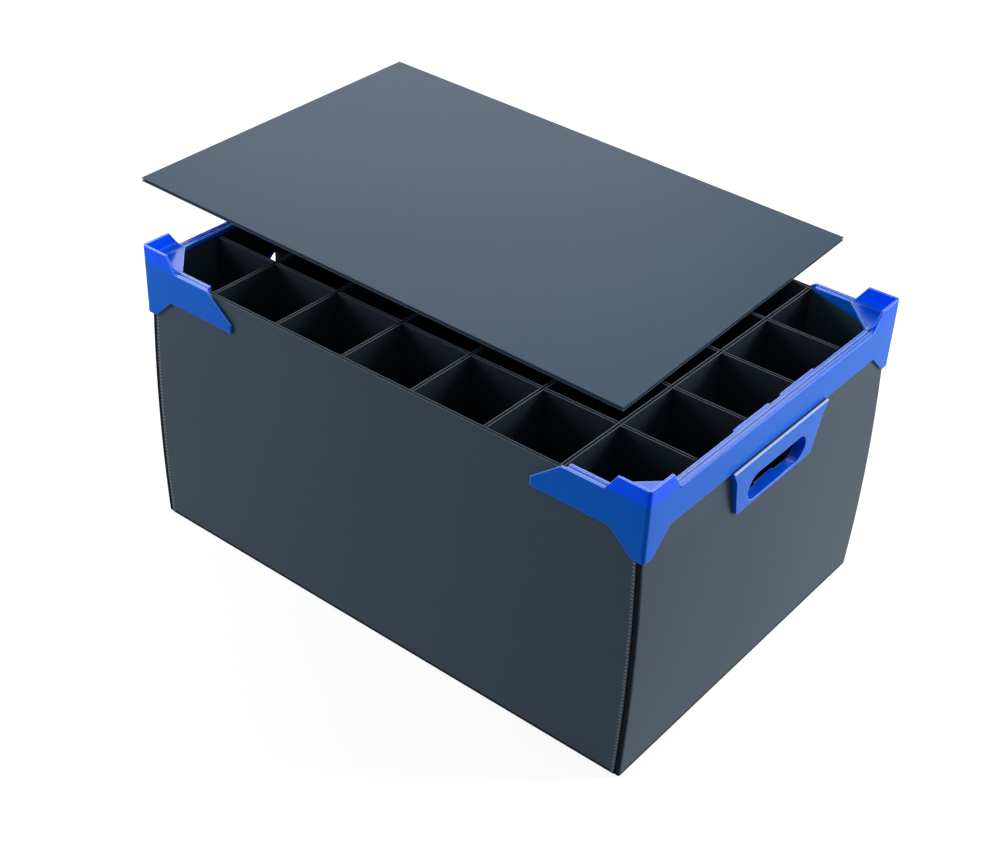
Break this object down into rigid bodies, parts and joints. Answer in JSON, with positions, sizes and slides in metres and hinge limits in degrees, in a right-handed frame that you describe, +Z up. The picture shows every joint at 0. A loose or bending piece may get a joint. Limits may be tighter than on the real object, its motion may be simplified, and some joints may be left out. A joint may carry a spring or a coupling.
{
  "type": "glassware storage box",
  "caption": "Stacking box of black fluted plastic sheet with blue moulded end frames, hand holes, slotted dividers for stemmed glasses and a loose flat lid.",
  "frame": {"origin": "middle of the underside", "axes": "+X along the box towards the right-hand end, +Y across it to the rear, +Z up"},
  "size_m": [0.6043, 0.4389, 0.2824],
  "materials": {
    "black_sheet": "satin fluted polypropylene sheet",
    "blue_moulding": "slightly translucent moulded polypropylene"
  },
  "bodies": {
    "root": {"box_shell": "black_sheet", "end_frame_left": "blue_moulding", "end_frame_right": "blue_moulding", "lid": "black_sheet", "cross_divider_1": "black_sheet", "cross_divider_2": "black_sheet", "cross_divider_3": "black_sheet", "cross_divider_4": "black_sheet", "cross_divider_5": "black_sheet", "cross_divider_6": "black_sheet", "long_divider_1": "black_sheet", "long_divider_2": "black_sheet", "long_divider_3": "black_sheet", "long_divider_4": "black_sheet"}
  },
  "joints": []
}
